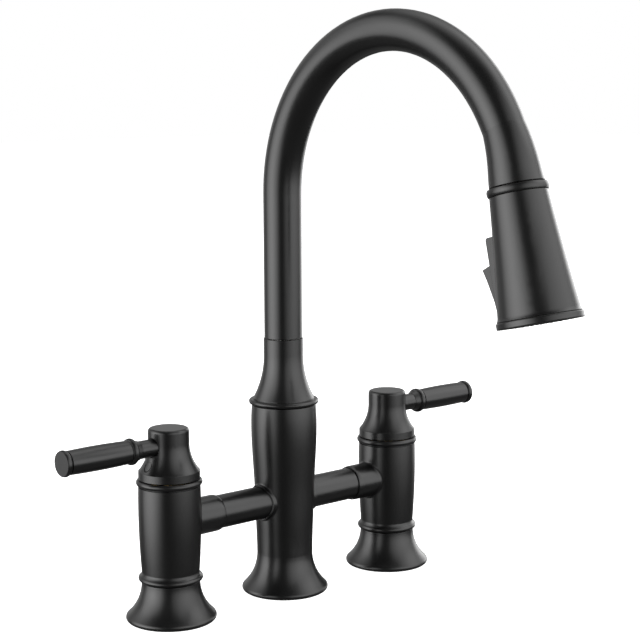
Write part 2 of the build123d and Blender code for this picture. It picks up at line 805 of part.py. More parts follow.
def aerator():
    end = RIM_END - FACE_RECESS
    body = rod(AERATOR_R, PLATE_END, end)
    body -= rod(AERATOR_R - AERATOR_WALL, PLATE_END, end - AERATOR_GRID_THICK)
    holes = [(0, 0)]
    for row in (1, 2):
        holes += around(row * AERATOR_GRID_COUNT, row * AERATOR_GRID_PITCH)
    for x, y in holes:
        body -= Pos(x, y, 0) * rod(AERATOR_GRID_R, end - AERATOR_GRID_THICK, end)
    return on_wand(body)


def wand_core():
    """Waterway of the wand, from its inlet past the diverter to the plate over the nozzles."""
    groove_start = SPOOL_BORE_END - DIVERT_GROOVE_DROP
    body = rod(WAND_CORE_R, INLET_END, PLATE_END)
    body += rod(PLATE_R, PLATE_START, PLATE_END)
    body -= rod(CHECK_VALVE_R + FIT, INLET_END, INLET_END + CHECK_VALVE_LENGTH)
    body -= rod(WAND_PASSAGE_R, INLET_END, PLATE_END)
    body -= rod(SPOOL_R + BUSH_FIT, SPOOL_BORE_START, SPOOL_BORE_END)
    body -= rod(DIVERT_GROOVE_R, groove_start, SPOOL_BORE_END)
    for x, y in around(DIVERT_PASSAGE_COUNT, DIVERT_GROOVE_R - DIVERT_PASSAGE_R / 2):
        body -= Pos(x, y, 0) * rod(DIVERT_PASSAGE_R, groove_start, PLATE_END)
    return on_wand(body - control_opening(RUNNING_GAP))


def check_valve():
    return on_wand(ring(CHECK_VALVE_R, CHECK_VALVE_BORE_R, INLET_END, INLET_END + CHECK_VALVE_LENGTH))


def diverter_spool():
    """Sliding spool whose lands open the spray or the stream."""
    end = SPOOL_START + SPOOL_LENGTH
    body = ring(SPOOL_R, SPOOL_R / 2, SPOOL_START, end)
    body -= ring(SPOOL_R + CUT_PAST, SPOOL_R - SPOOL_GROOVE, SPOOL_START + SPOOL_LAND, end - SPOOL_LAND)
    return on_wand(body)


# ---------------------------------------------------------------- controls on the wand's back
def control_floor():
    return CONTROL_INNER + CONTROL_WALL


def inner_width():
    return CONTROL_WIDTH - 2 * CONTROL_WALL


def at_back(body, w, depth):
    """Stands a body that was built up along +Z out of the wand's back."""
    return Pos(0, -depth, w) * (Rot(90, 0, 0) * body)


def control_frame():
    """Frame let into the shell, with the well that holds the button and the trigger."""
    body = back_block(
        CONTROL_WIDTH,
        (
            (CONTROL_START, CONTROL_INNER),
            (CONTROL_START, CONTROL_FACE_TOP),
            (CONTROL_END, CONTROL_FACE_LOW),
            (CONTROL_END, CONTROL_INNER),
        ),
    )
    top_corner = body.edges().filter_by(Axis.X).sort_by(Axis.Z)[:2].sort_by(Axis.Y)[0]
    body = fillet(top_corner, CONTROL_ROUND)
    well_start = CONTROL_START + CONTROL_WALL
    well_end = CONTROL_END - CONTROL_WALL
    well = (
        (well_start, control_floor()),
        (well_start, TRIGGER_TIP_DEPTH),
        (well_end, TRIGGER_TIP_DEPTH),
        (well_end, control_floor()),
    )
    body -= back_block(inner_width(), well)
    divider_start = BUTTON_END + RUNNING_GAP
    divider_end = divider_start + CONTROL_DIVIDER
    divider_top = control_floor() + CONTROL_DIVIDER_RISE
    divider = (
        (divider_start, CONTROL_INNER),
        (divider_start, divider_top),
        (divider_end, divider_top),
        (divider_end, CONTROL_INNER),
    )
    body += back_block(inner_width(), divider)
    body -= Pos(0, -TRIGGER_PIN_DEPTH, TRIGGER_PIN_AT) * outward(Cylinder(TRIGGER_PIN_R, CONTROL_WIDTH))
    return on_wand(body)


def moving_width():
    return inner_width() - 2 * RUNNING_GAP


def button_middle():
    return (CONTROL_START + CONTROL_WALL + BUTTON_END) / 2


def spray_button():
    start = CONTROL_START + CONTROL_WALL + RUNNING_GAP
    inner = control_floor() + BUTTON_TRAVEL + BUTTON_ROOM
    corners = ((start, inner), (start, BUTTON_FACE), (BUTTON_END, BUTTON_FACE), (BUTTON_END, inner))
    body = back_block(moving_width(), corners)
    body = fillet(body.faces().sort_by(Axis.Y)[0].edges(), BUTTON_ROUND)
    pocket = rod(SPRING_R + RUNNING_GAP, 0, BUTTON_FACE - BUTTON_CROWN - inner)
    return on_wand(body - at_back(pocket, button_middle(), inner))


def pause_trigger():
    """Thumb lever on a pin near its lower end, with its tip proud of the frame."""
    tail = CONTROL_END - CONTROL_WALL - RUNNING_GAP
    boss = TRIGGER_PIN_DEPTH - TRIGGER_PIN_R - TRIGGER_PIN_BOSS
    body = back_block(
        moving_width(),
        (
            (TRIGGER_LIP, TRIGGER_LIP_DEPTH),
            (TRIGGER_TIP, TRIGGER_TIP_DEPTH),
            (TRIGGER_KNEE, TRIGGER_KNEE_DEPTH),
            (TRIGGER_HOLLOW, TRIGGER_HOLLOW_DEPTH),
            (TRIGGER_TAIL, TRIGGER_TAIL_DEPTH),
            (tail, TRIGGER_PIN_DEPTH),
            (TRIGGER_PIN_AT, boss),
            (TRIGGER_HOLLOW, TRIGGER_INNER),
            (TRIGGER_TIP + CONTROL_DIVIDER, TRIGGER_INNER),
        ),
    )
    body -= Pos(0, -TRIGGER_PIN_DEPTH, TRIGGER_PIN_AT) * outward(
        Cylinder(TRIGGER_PIN_R + BUSH_FIT, CONTROL_WIDTH)
    )
    pocket = rod(SPRING_R + RUNNING_GAP, 0, TRIGGER_POCKET)
    return on_wand(body - at_back(pocket, TRIGGER_SPRING_AT, TRIGGER_INNER))


def trigger_pin():
    pin = Cylinder(TRIGGER_PIN_R - FIT / 5, CONTROL_WIDTH - 2 * FIT)
    return on_wand(Pos(0, -TRIGGER_PIN_DEPTH, TRIGGER_PIN_AT) * outward(pin))


def back_spring(w, end_depth):
    """Coil spring as the sleeve that its turns fill, from the frame's floor outward."""
    sleeve = ring(SPRING_R, SPRING_R - SPRING_WALL, 0, end_depth - control_floor() - FIT)
    return on_wand(at_back(sleeve, w, control_floor()))


def button_spring():
    return back_spring(button_middle(), BUTTON_FACE - BUTTON_CROWN)


def trigger_spring():
    return back_spring(TRIGGER_SPRING_AT, TRIGGER_INNER + TRIGGER_POCKET)


# ---------------------------------------------------------------- valves, built with the lever along +X
def at_valve(side, body):
    """Moves a body built about Z to the hot (-1) or the cold (+1) valve, outward from the post."""
    return Pos(side * VALVE_X, 0, 0) * (Rot(0, 0, 0 if side > 0 else 180) * body)


def valve_foot():
    top = VALVE_LOW_Z - SEAM
    flare = arc_to_vertical(toe_top(), (WAIST_R, top))
    body = turned([toe(), flare], (0, top), (0, 0))
    return body - foot_gasket(FIT) - rod(SPIGOT_R + FIT, 0, top)


def collar_r():
    return BRIDGE_R + COLLAR_WALL


def valve_barrel():
    ring_top = VALVE_LOW_Z + VALVE_RING_HEIGHT
    cove_top = ring_top + VALVE_COVE_HEIGHT
    shoulder_r = VALVE_RING_R - VALVE_RING_DRAW
    groove_low = VALVE_TOP_Z - VALVE_TOP_GROOVE
    groove_r = VALVE_TOP_R - VALVE_TOP_GROOVE_DEPTH
    outline = [
        bead(shoulder_r, VALVE_RING_R, shoulder_r, VALVE_LOW_Z, ring_top),
        arc_to_vertical((shoulder_r, ring_top), (VALVE_LOW_R, cove_top)),
        ThreePointArc((VALVE_LOW_R, cove_top), (VALVE_MID_R, VALVE_MID_Z), (VALVE_TOP_R, groove_low)),
        Polyline((VALVE_TOP_R, groove_low), (groove_r, groove_low), (groove_r, VALVE_TOP_Z)),
    ]
    return turned(outline, (0, VALVE_TOP_Z), (0, VALVE_LOW_Z))


def valve_body():
    """Cast body: spigot in the foot, barrel for the cartridge, and collar for the bridge tube."""
    round_start = COLLAR_REACH - COLLAR_ROUND
    collar = turned(
        [
            Line((collar_r(), 0), (collar_r(), round_start)),
            arc_from_vertical((collar_r(), round_start), (collar_r() - COLLAR_DRAW, COLLAR_REACH)),
        ],
        (0, COLLAR_REACH),
        (0, 0),
    )
    body = blended(valve_barrel(), inward(collar, BRIDGE_Z), COLLAR_BLEND)
    body += rod(SPIGOT_R, SPIGOT_LOW_Z, VALVE_LOW_Z)
    body -= rod(INLET_SOCKET_R, SPIGOT_LOW_Z, SPIGOT_LOW_Z + INLET_SOCKET_DEPTH)
    body -= rod(INLET_PASSAGE_R, SPIGOT_LOW_Z, CARTRIDGE_SEAT_Z)
    body -= rod(CARTRIDGE_R + FIT, CARTRIDGE_SEAT_Z, VALVE_TOP_Z)
    body -= inward(rod(BRIDGE_R + FIT, COLLAR_REACH - COLLAR_SOCKET, COLLAR_REACH), BRIDGE_Z)
    mouth = rod(BRIDGE_R + COLLAR_MOUTH_GAP, COLLAR_REACH - COLLAR_MOUTH_DEPTH, COLLAR_REACH)
    body -= inward(mouth, BRIDGE_Z)
    return body - inward(rod(WINDOW_R, 0, COLLAR_REACH), BRIDGE_Z)


def bridge_seals():
    """Distances from the post's axis to the O-rings on a bridge tube."""
    first = VALVE_X - COLLAR_REACH + BRIDGE_SEAL_FIRST
    return first, first + BRIDGE_SEAL_PITCH


def bridge_tube():
    """Tube from the post's wall to the cold valve's collar."""
    start = post_bore_r() + BRIDGE_END_GAP
    end = VALVE_X - COLLAR_REACH + COLLAR_SOCKET - BRIDGE_END_GAP
    body = ring(BRIDGE_R, BRIDGE_R - BRIDGE_WALL, start, end)
    for x in bridge_seals():
        body -= groove(BRIDGE_R, ORING_R, x)
    return outward(body, BRIDGE_Z)


def bridge_orings():
    places = [side * x for side in (-1, 1) for x in bridge_seals()]
    return group([outward(oring(BRIDGE_R, ORING_R, x), BRIDGE_Z) for x in places])


def nut_room_r():
    return corner_r(NUT_ACROSS_FLATS) + HUB_ROOM


def trim_ring():
    high = VALVE_TOP_Z + TRIM_HEIGHT
    shoulder_r = TRIM_R - TRIM_DRAW
    body = turned([bead(shoulder_r, TRIM_R, shoulder_r, VALVE_TOP_Z, high)], (0, high), (0, VALVE_TOP_Z))
    return body - rod(nut_room_r(), VALVE_TOP_Z, high)


def disc_low_z():
    return CARTRIDGE_SEAT_Z + SEAL_THICK


def cavity_r():
    return CARTRIDGE_R - CARTRIDGE_WALL


def seat_seal():
    return ring(INLET_PASSAGE_R + SEAL_WIDTH, INLET_PASSAGE_R, CARTRIDGE_SEAT_Z, disc_low_z())


def ceramic_disc(low):
    body = rod(cavity_r() - FIT, low, low + DISC_THICK)
    for side in (-1, 1):
        body -= Pos(side * DISC_PORT_OFFSET, 0, 0) * rod(DISC_PORT_R, low, low + DISC_THICK)
    return body


def fixed_disc():
    return ceramic_disc(disc_low_z())


def moving_disc_top_z():
    return disc_low_z() + 2 * DISC_THICK + RUNNING_GAP


def drive_bar(gap, high):
    """Flat bar under the stem that turns the moving disc."""
    low = moving_disc_top_z() - DISC_DRIVE_DEPTH + FIT - gap
    bar = Box(DISC_DRIVE_WIDTH + 2 * gap, DISC_DRIVE_LENGTH + 2 * gap, high - low, align=LOW)
    return Pos(0, 0, low) * bar


def moving_disc():
    return ceramic_disc(moving_disc_top_z() - DISC_THICK) - drive_bar(FIT, moving_disc_top_z())


def cartridge():
    """Shell over the two discs, with windows to the bridge and the stem's bearing in its roof."""
    roof = CARTRIDGE_TOP_Z - CARTRIDGE_ROOF
    body = rod(CARTRIDGE_R, CARTRIDGE_SEAT_Z, CARTRIDGE_TOP_Z)
    body -= rod(cavity_r(), CARTRIDGE_SEAT_Z, roof)
    body -= rod(STEM_SHAFT_R + BUSH_FIT, roof, CARTRIDGE_TOP_Z)
    body -= outward(Cylinder(WINDOW_R - SEAL_WIDTH / 2, 3 * CARTRIDGE_R), BRIDGE_Z)
    return body - groove(CARTRIDGE_R, ORING_R, CARTRIDGE_TOP_Z - CARTRIDGE_SEAL_DROP)


def cartridge_oring():
    return oring(CARTRIDGE_R, ORING_R, CARTRIDGE_TOP_Z - CARTRIDGE_SEAL_DROP)


def nut_top_z():
    return VALVE_TOP_Z + NUT_HEAD


def bonnet_nut():
    body = rod(CARTRIDGE_R, CARTRIDGE_TOP_Z, VALVE_TOP_Z)
    body += hex_rod(NUT_ACROSS_FLATS, VALVE_TOP_Z, nut_top_z())
    return body - rod(NUT_BORE_R, CARTRIDGE_TOP_Z, nut_top_z())


def cartridge_stem():
    roof = CARTRIDGE_TOP_Z - CARTRIDGE_ROOF
    shaft_low = moving_disc_top_z() + DISC_DRIVE_DEPTH
    body = drive_bar(0, shaft_low) & rod(cavity_r() - 2 * FIT, CARTRIDGE_SEAT_Z, CARTRIDGE_TOP_Z)
    body += rod(STEM_SHAFT_R, shaft_low, STEM_SHAFT_TOP_Z)
    body += rod(STEM_COLLAR_R, roof - RUNNING_GAP - STEM_COLLAR_THICK, roof - RUNNING_GAP)
    return body + rod(SPLINE_R, shaft_low, SPLINE_TOP_Z)


def hub_low_z():
    return VALVE_TOP_Z + TRIM_HEIGHT + SEAM


def hub_flare_foot():
    return HUB_BAND_R - HUB_STEP, HUB_BAND_TOP_Z + HUB_STEP


def hub_surface_at(z):
    """Radius of the hub's flare at height z."""
    foot_r, foot_z = hub_flare_foot()
    out = foot_r - HUB_R
    height = HUB_FLARE_TOP_Z - foot_z
    flare_arc_r = (out * out + height * height) / (2 * out)
    return HUB_R + flare_arc_r - sqrt(flare_arc_r**2 - (HUB_FLARE_TOP_Z - z) ** 2)


def hub_bell(inset=0):
    """The hub's outer shape as a solid, with its side drawn in by inset."""
    edge_low = HUB_TOP_Z - HUB_EDGE
    band_r = HUB_BAND_R - inset
    bell_r = HUB_R - inset
    foot_r, foot_z = hub_flare_foot()
    foot = (foot_r - inset, foot_z)
    outline = [
        Polyline((band_r, hub_low_z()), (band_r, HUB_BAND_TOP_Z), foot),
        arc_to_vertical(foot, (bell_r, HUB_FLARE_TOP_Z)),
        Line((bell_r, HUB_FLARE_TOP_Z), (bell_r, edge_low)),
        arc_from_vertical((bell_r, edge_low), (bell_r - HUB_EDGE, HUB_TOP_Z)),
    ]
    return turned(outline, (0, HUB_TOP_Z), (0, hub_low_z()))


def handle_hub():
    """Bell over the nut, bored for the stem, the lever and the set screw with its plug."""
    body = hub_bell() - rod(nut_room_r(), hub_low_z(), nut_top_z() + HUB_ROOM)
    body -= rod(SPLINE_R + FIT, hub_low_z(), SPLINE_TOP_Z + HUB_ROOM)
    body -= outward(rod(SHANK_R + FIT, SHANK_IN - RUNNING_GAP, 2 * HUB_R), LEVER_Z)
    body -= outward(rod(SHANK_R + SHANK_RING_GAP, HUB_R - SHANK_RING_DEPTH, 2 * HUB_R), LEVER_Z)
    body -= outward(rod(SCREW_R + FIT, SPLINE_R, 2 * HUB_R), SCREW_Z)
    ring_start = hub_surface_at(SCREW_Z) - PLUG_RING_DEPTH
    return body - outward(rod(SCREW_R + PLUG_RING_GAP, ring_start, 2 * HUB_R), SCREW_Z)


def set_screw():
    """Screw that holds the hub on its stem, and the plug that closes its hole flush with the flare."""
    end = SPLINE_R + FIT + SCREW_LENGTH
    screw = rod(SCREW_R, SPLINE_R + FIT, end) - hex_rod(SCREW_KEY, end - SCREW_KEY_DEPTH, end)
    plug = outward(rod(SCREW_R, hub_surface_at(SCREW_Z) - PLUG_LENGTH, 2 * HUB_R), SCREW_Z)
    return group([outward(screw, SCREW_Z), plug & hub_bell(PLUG_RECESS)])


def core_end():
    return CAP_END - CORE_TAIL


def lever_rod():
    """Turned rod: shank, cone and bead, then the core that carries the grip and the cap."""
    groove_end = BEAD_END + BEAD_GROOVE
    outline = [
        Line((SHANK_R, SHANK_IN), (SHANK_R, SHANK_END)),
        Polyline((SHANK_R, SHANK_END), (CONE_START_R, SHANK_END), (CONE_END_R, CONE_END)),
        bead(CONE_END_R, BEAD_R, BEAD_R - BEAD_DRAW, CONE_END, BEAD_END),
        Polyline((BEAD_R - BEAD_DRAW, BEAD_END), (GROOVE_R, BEAD_END), (GROOVE_R, groove_end)),
        Polyline((GROOVE_R, groove_end), (CORE_R, groove_end), (CORE_R, core_end())),
    ]
    return outward(turned(outline, (0, core_end()), (0, SHANK_IN)), LEVER_Z)


def lever_grip():
    start = BEAD_END + BEAD_GROOVE + FIT
    side = Spline((GRIP_R, start), (GRIP_BELLY_R, GRIP_BELLY_AT), (GRIP_TIP_R, GRIP_END))
    body = turned([side], (CORE_R + FIT, GRIP_END), (CORE_R + FIT, start))
    return outward(body, LEVER_Z)


def lever_end_cap():
    start = GRIP_END + SEAM
    outline = bead(GRIP_TIP_R, CAP_R, CAP_FACE_R, start, CAP_END)
    body = turned([outline], (0, CAP_END), (0, start))
    return outward(body - rod(CORE_R + FIT, start, core_end() + FIT), LEVER_Z)


# ---------------------------------------------------------------- nodes
def both_valves(build):
    return group([at_valve(side, build()) for side in (-1, 1)])


SINGLE_NODES = {
    "center_post": center_post,
    "waterway_insert": waterway_insert,
    "post_orings": post_orings,
    "neck": neck,
    "spout_bushings": spout_bushings,
    "bridge_orings": bridge_orings,
    "spout_tube": spout_tube,
    "spout_clip": spout_clip,
    "dock_sleeve": dock_sleeve,
    "dock_magnet": dock_magnet,
    "hose": hose,
    "hose_tail_ferrule": hose_tail_ferrule,
    "outlet_hose": outlet_hose,
    "hose_connector": hose_connector,
    "wand_inlet": wand_inlet,
    "wand_top_ring": wand_top_ring,
    "wand_strike_ring": wand_strike_ring,
    "wand_shell": wand_shell,
    "wand_core": wand_core,
    "check_valve": check_valve,
    "diverter_spool": diverter_spool,
    "nozzle_mat": nozzle_mat,
    "spray_face": spray_face,
    "aerator": aerator,
    "wand_rim": wand_rim,
    "control_frame": control_frame,
    "spray_button": spray_button,
    "button_spring": button_spring,
    "pause_trigger": pause_trigger,
    "trigger_pin": trigger_pin,
    "trigger_spring": trigger_spring,
}
PAIRED_NODES = {
    "trim_rings": trim_ring,
    "fixed_discs": fixed_disc,
    "seat_seals": seat_seal,
    "cartridge_orings": cartridge_oring,
    "bonnet_nuts": bonnet_nut,
}
VALVE_NODES = {
    "foot": valve_foot,
    "valve_body": valve_body,
    "cartridge": cartridge,
    "moving_disc": moving_disc,
    "cartridge_stem": cartridge_stem,
    "handle_hub": handle_hub,
    "set_screw": set_screw,
    "lever_rod": lever_rod,
    "lever_grip": lever_grip,
    "lever_end_cap": lever_end_cap,
}

os.makedirs("parts", exist_ok=True)
model = {name: build() for name, build in SINGLE_NODES.items()}
model["foot_gaskets"] = group([foot_gasket(), both_valves(foot_gasket)])
for name, build in PAIRED_NODES.items():
    model[name] = both_valves(build)
for side_name, side in (("left", -1), ("right", 1)):
    model[f"{side_name}_bridge_tube"] = Rot(0, 0, 0 if side > 0 else 180) * bridge_tube()
    for name, build in VALVE_NODES.items():
        model[f"{side_name}_{name}"] = at_valve(side, build())
for name, body in model.items():
    export_step(body, f"parts/{name}.step")
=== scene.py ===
import json
import math

import bmesh
import bpy
from mathutils import Matrix, Vector


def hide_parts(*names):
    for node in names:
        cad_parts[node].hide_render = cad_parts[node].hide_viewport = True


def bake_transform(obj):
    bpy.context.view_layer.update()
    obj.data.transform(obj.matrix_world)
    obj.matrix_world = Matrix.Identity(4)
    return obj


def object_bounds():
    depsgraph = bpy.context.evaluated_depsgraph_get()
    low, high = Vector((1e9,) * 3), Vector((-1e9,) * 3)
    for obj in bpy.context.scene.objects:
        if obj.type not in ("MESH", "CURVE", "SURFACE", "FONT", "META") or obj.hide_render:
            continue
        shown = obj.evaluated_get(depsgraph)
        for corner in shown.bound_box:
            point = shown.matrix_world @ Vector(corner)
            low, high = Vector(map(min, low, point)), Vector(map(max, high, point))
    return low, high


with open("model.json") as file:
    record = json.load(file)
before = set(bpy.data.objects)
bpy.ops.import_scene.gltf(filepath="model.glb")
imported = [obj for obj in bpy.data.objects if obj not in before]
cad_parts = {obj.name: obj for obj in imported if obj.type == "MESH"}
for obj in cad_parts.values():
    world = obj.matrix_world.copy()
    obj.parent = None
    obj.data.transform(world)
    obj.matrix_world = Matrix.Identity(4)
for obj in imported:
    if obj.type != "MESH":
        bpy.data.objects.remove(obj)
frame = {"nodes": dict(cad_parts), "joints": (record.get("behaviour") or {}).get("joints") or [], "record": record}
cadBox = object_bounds()
mm = 0.001                                # the finishes' and the braid's sizes are in millimetres
nodes = frame["nodes"]
joints = {joint["name"]: joint for joint in frame["joints"]}
print("frame loaded:", len(nodes), "nodes")


# the wand's own frame: x across it, y out of its front, z down its axis from its top face
wandTop = Vector(joints["wand_swivel"]["pos_m"])
wandDown = Vector(joints["wand_swivel"]["axis"]).normalized()
wandFront = Vector(joints["button_press"]["axis"]).normalized()
wandPlace = Matrix((wandFront.cross(wandDown), wandFront, wandDown)).transposed().to_4x4()
wandPlace.translation = wandTop


camera = {
    "yaw": 41.013, "pitch": 8.291, "roll": -0.214,        # degrees
    "target": (0.0347, 0, 0.1937), "distance": 1.1856,    # metres
    "near": 0.05, "far": 60,
    "lens": 91.96, "sensor": 36,
}


def cameraAxes():
    yaw, pitch, roll = (math.radians(camera[key]) for key in ("yaw", "pitch", "roll"))
    ahead = Vector((math.sin(yaw) * math.cos(pitch), math.cos(yaw) * math.cos(pitch), -math.sin(pitch)))
    level = Vector((math.cos(yaw), -math.sin(yaw), 0))
    up = level.cross(ahead)
    right = level * math.cos(roll) + up * math.sin(roll)
    return ahead, right, up * math.cos(roll) - level * math.sin(roll)


def makeCamera():
    ahead, right, up = cameraAxes()
    data = bpy.data.cameras.new("photoCamera")
    data.lens, data.sensor_width = camera["lens"], camera["sensor"]
    data.clip_start, data.clip_end = camera["near"], camera["far"]
    made = bpy.data.objects.new("photoCamera", data)
    place = Matrix((right, up, -ahead)).transposed().to_4x4()
    place.translation = Vector(camera["target"]) - ahead * camera["distance"]
    made.matrix_world = place
    bpy.context.scene.collection.objects.link(made)
    bpy.context.scene.camera = made


makeCamera()
print("camera placed")


class Flow:
    # a socket that can stand in arithmetic: each operation adds its Math node
    def __init__(self, tree, socket):
        self.tree, self.socket = tree, socket

    def __add__(self, other):
        return self.tree.math("ADD", self, other)

    def __radd__(self, other):
        return self.tree.math("ADD", other, self)

    def __sub__(self, other):
        return self.tree.math("SUBTRACT", self, other)

    def __rsub__(self, other):
        return self.tree.math("SUBTRACT", other, self)

    def __mul__(self, other):
        return self.tree.math("MULTIPLY", self, other)

    def __rmul__(self, other):
        return self.tree.math("MULTIPLY", other, self)


class Tree:
    # a material's or a world's nodes
    def __init__(self, holder):
        holder.use_nodes = True
        self.nodes, self.links = holder.node_tree.nodes, holder.node_tree.links
        self.nodes.clear()

    def node(self, kind, settings, sockets, output=0):
        made = self.nodes.new(kind)
        for name, value in settings.items():
            if name == "stops":
                self.setStops(made.color_ramp.elements, value)
            else:
                setattr(made, name, value)
        for key, value in sockets.items():
            socket = made.inputs[key] if isinstance(key, int) else pick(made.inputs, key)
            if isinstance(value, Flow):
                self.links.new(value.socket, socket)
            else:
                socket.default_value = value
        return Flow(self, made.outputs[output] if isinstance(output, int) else pick(made.outputs, output))

    def math(self, operation, *values):
        return self.node("ShaderNodeMath", {"operation": operation}, dict(enumerate(values)))

    def setStops(self, elements, stops):
        while len(elements) < len(stops):
            elements.new(1)
        for element, (place, shade) in zip(elements, stops):
            element.position, element.color = place, (shade, shade, shade, 1)

    def noise(self, place, size, character):
        # cloudy value of about 0 to 1, with features of that size in metres
        return self.node("ShaderNodeTexNoise", {}, {"Vector": place, "Scale": 1 / size, **character}, "Fac")

    def colourMix(self, amount, first, second):
        return self.node("ShaderNodeMix", {"data_type": "RGBA"}, {
            "Factor_Float": amount, "A_Color": (*first, 1), "B_Color": (*second, 1)}, "Result_Color")

    def close(self, shader, kind="ShaderNodeOutputMaterial"):
        self.links.new(shader.socket, self.nodes.new(kind).inputs["Surface"])


def pick(sockets, key):
    for socket in sockets:
        if socket.identifier == key:
            return socket
    return sockets[key]


# a finish: its colour, the share by which its tone drifts and the size of that drift, its roughness and how
# far that drifts, the size and height of its grain, and the radius to which its edges are softened
satinBlack = {
    "colour": (0.003, 0.003, 0.003), "drift": 0.12, "driftSize": 20,
    "roughness": 0.3, "glossDrift": 0.05, "grain": 0.6, "grainHeight": 0.004, "edge": 0.4}
finishSettings = {
    "black_metal": {"name": "satinBlackMetal", **satinBlack},
    "black_plastic": {"name": "satinBlackShell", **satinBlack},
    "dark_plastic": {
        "name": "darkPlastic", "colour": (0.05, 0.05, 0.053), "drift": 0.1, "driftSize": 15,
        "roughness": 0.5, "glossDrift": 0.08, "grain": 0.5, "grainHeight": 0.01},
    "white_plastic": {
        "name": "whitePlastic", "colour": (0.8, 0.8, 0.78), "drift": 0.03, "driftSize": 10,
        "roughness": 0.45, "glossDrift": 0.08, "grain": 0.5, "grainHeight": 0.01},
    "ceramic": {
        "name": "ceramic", "colour": (0.88, 0.87, 0.84), "drift": 0.02, "driftSize": 10,
        "roughness": 0.15, "glossDrift": 0.05, "grain": 0.3, "grainHeight": 0.002},
    "brass": {
        "name": "machinedBrass", "colour": (0.72, 0.53, 0.24), "drift": 0.08, "driftSize": 12,
        "roughness": 0.3, "glossDrift": 0.1, "grain": 0.4, "grainHeight": 0.008, "metallic": 1},
    "stainless": {
        "name": "stainlessSteel", "colour": (0.6, 0.6, 0.6), "drift": 0.06, "driftSize": 8,
        "roughness": 0.28, "glossDrift": 0.1, "grain": 0.3, "grainHeight": 0.006, "metallic": 1},
    "magnet": {
        "name": "platedMagnet", "colour": (0.45, 0.45, 0.46), "drift": 0.05, "driftSize": 8,
        "roughness": 0.3, "glossDrift": 0.08, "grain": 0.3, "grainHeight": 0.006, "metallic": 1},
    "rubber": {
        "name": "blackRubber", "colour": (0.024, 0.024, 0.024), "drift": 0.15, "driftSize": 8,
        "roughness": 0.75, "glossDrift": 0.1, "grain": 0.4, "grainHeight": 0.02},
    "hose_braid": {
        "name": "wovenNylon", "colour": (0.035, 0.035, 0.035), "drift": 0.5, "driftSize": 1.2,
        "roughness": 0.6, "glossDrift": 0.15, "grain": 0.5, "grainHeight": 0.2},
}
cloudNoise = {"Detail": 4, "Roughness": 0.6}
grainNoise = {"Detail": 3, "Roughness": 0.55}
cloudStops = ((0.3, 0), (0.7, 1))


def makeFinish(setting):
    # a slow drift in tone and gloss, a fine grain that a bump lifts, and softened edges
    material = bpy.data.materials.new(setting["name"])
    tree = Tree(material)
    place = tree.node("ShaderNodeTexCoord", {}, {}, "Object")
    cloud = tree.noise(place, setting["driftSize"] * mm, cloudNoise)
    fine = tree.noise(place, setting["grain"] * mm, grainNoise)
    tone = tree.node("ShaderNodeValToRGB", {"stops": cloudStops}, {"Fac": cloud}, "Color")
    light = [channel * (1 + setting["drift"]) for channel in setting["colour"]]
    dark = [channel * (1 - setting["drift"]) for channel in setting["colour"]]
    drift = setting["glossDrift"]
    gloss = setting["roughness"] + (cloud - 0.5) * drift + (fine - 0.5) * drift * 0.5
    surface = {"Height": fine, "Distance": setting["grainHeight"] * mm}
    if "edge" in setting:
        surface["Normal"] = tree.node("ShaderNodeBevel", {"samples": 4}, {"Radius": setting["edge"] * mm})
    shine = {"Metallic": setting["metallic"]} if "metallic" in setting else {}
    tree.close(tree.node("ShaderNodeBsdfPrincipled", {}, {
        "Base Color": tree.colourMix(tone, dark, light), "Roughness": gloss,
        "Normal": tree.node("ShaderNodeBump", {}, surface), **shine}))
    material.diffuse_color = (*setting["colour"], 1)
    return material


braid = {
    "strands": 16,                        # that wind each way round the hose
    # strandTone is the strands' own colour at each crown; the darker tone is painted shade, mixed in down each
    # strand's flanks, in the gaps and where a strand dips under another
    "strandTone": (0.055, 0.055, 0.055), "paintedShadeTone": (0.012, 0.012, 0.012),
    "height": 0.35,                       # of a strand over the gaps
    "under": 0.35,                        # share by which a strand dips where it passes under
    "gapRoughness": 0.65, "strandRoughness": 0.45,
}


def makeBraid():
    # two sets of strands that cross, on the hose's own map: u once round it, v along it in the same unit
    material = bpy.data.materials.new("braidedNylon")
    tree = Tree(material)
    way = tree.node("ShaderNodeUVMap", {"uv_map": "hoseMap"}, {})
    turn = tree.node("ShaderNodeSeparateXYZ", {}, {"Vector": way}, "X")
    length = tree.node("ShaderNodeSeparateXYZ", {}, {"Vector": way}, "Y")
    first = (turn + length) * braid["strands"]
    second = (turn - length) * braid["strands"]
    firstCrown = tree.math("PINGPONG", first, 0.5) * 2
    secondCrown = tree.math("PINGPONG", second, 0.5) * 2
    crossing = tree.math("FLOOR", first) + tree.math("FLOOR", second)
    over = tree.math("ABSOLUTE", tree.math("MODULO", crossing, 2)) * braid["under"]
    weave = tree.math("MAXIMUM", firstCrown * (1 - over), secondCrown * (over + (1 - braid["under"])))
    gloss = braid["gapRoughness"] - weave * (braid["gapRoughness"] - braid["strandRoughness"])
    # the colour runs from the darker painted shade tone in the gaps and down each strand's flanks up to the strand
    # tone at its crown, and darkens where a strand dips under another: painted shade
    tree.close(tree.node("ShaderNodeBsdfPrincipled", {}, {
        "Base Color": tree.colourMix(weave, braid["paintedShadeTone"], braid["strandTone"]), "Roughness": gloss,
        "Normal": tree.node("ShaderNodeBump", {}, {"Height": weave, "Distance": braid["height"] * mm})}))
    material.diffuse_color = (*braid["strandTone"], 1)
    return material


finishes = {slotName: makeFinish(setting) for slotName, setting in finishSettings.items()}
for subpart in frame["record"]["subparts"]:
    for slot in nodes[subpart["node"]].material_slots:
        slot.material = finishes[subpart["material_slot"]]
print("finishes made:", len(finishes))


outletHose = {"steps": 48, "rings": 40}   # round it and along it


